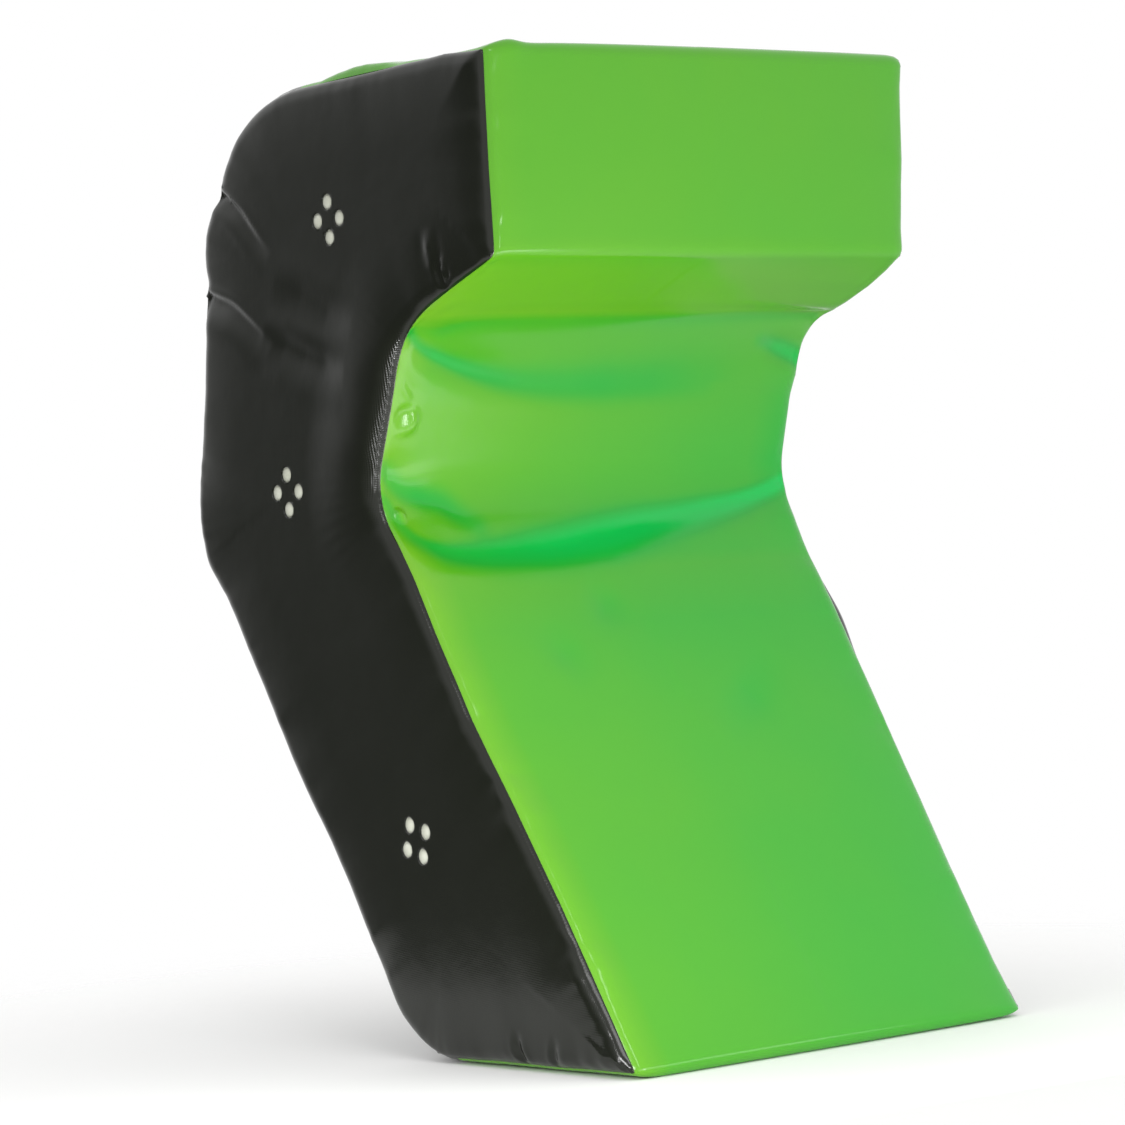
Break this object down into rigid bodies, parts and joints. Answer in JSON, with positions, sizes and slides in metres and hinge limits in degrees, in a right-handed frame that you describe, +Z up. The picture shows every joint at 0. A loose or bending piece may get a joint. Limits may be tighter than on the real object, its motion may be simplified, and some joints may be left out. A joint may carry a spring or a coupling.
{
  "type": "tackle wedge",
  "caption": "Foam training pad with an overhanging head and a sloping leg, a notch for the tackler's shoulder, side vents, a zipped back and grab handles.",
  "frame": {"origin": "on the floor under the middle of the pad's length and width, with the pad upright on its foot", "axes": "+X across the pad, to the right as the tackler faces it, +Y from the struck face to the handles, +Z up from the foot"},
  "size_m": [0.4676, 0.5726, 0.8064],
  "materials": {
    "green_pvc": "glossy coated fabric",
    "black_pvc": "semi-gloss coated fabric",
    "foam": "open foam",
    "zip_tape": "woven tape",
    "zip_plastic": "moulded",
    "zip_metal": "die-cast, plated",
    "webbing": "woven webbing",
    "grip_rubber": "moulded sleeve"
  },
  "bodies": {
    "pad": {"strike_cover": "green_pvc", "head_foam": "foam", "leg_foam": "foam", "upper_zip_stop": "zip_metal", "lower_zip_stop": "zip_metal", "left_side_panel": "black_pvc", "left_back_panel": "black_pvc", "left_zip_tape": "zip_tape", "left_zip_teeth": "zip_plastic", "left_upper_patch": "webbing", "left_lower_patch": "webbing", "left_handle_strap": "webbing", "left_handle_grip": "grip_rubber", "right_side_panel": "black_pvc", "right_back_panel": "black_pvc", "right_zip_tape": "zip_tape", "right_zip_teeth": "zip_plastic", "right_upper_patch": "webbing", "right_lower_patch": "webbing", "right_handle_strap": "webbing", "right_handle_grip": "grip_rubber"},
    "slider": {"zip_slider": "zip_metal"},
    "pull": {"zip_pull": "zip_metal"}
  },
  "joints": [
    {"name": "zip_slide", "type": "slide", "parent": "pad", "child": "slider", "axis": [0, 0.5059, 0.8626], "range_m": [0, 0.319]},
    {"name": "pull_swing", "type": "hinge", "parent": "slider", "child": "pull", "pos_m": [0, 0.05547, 0.09476], "axis": [1, 0, 0], "range_deg": [-30, 149]}
  ]
}
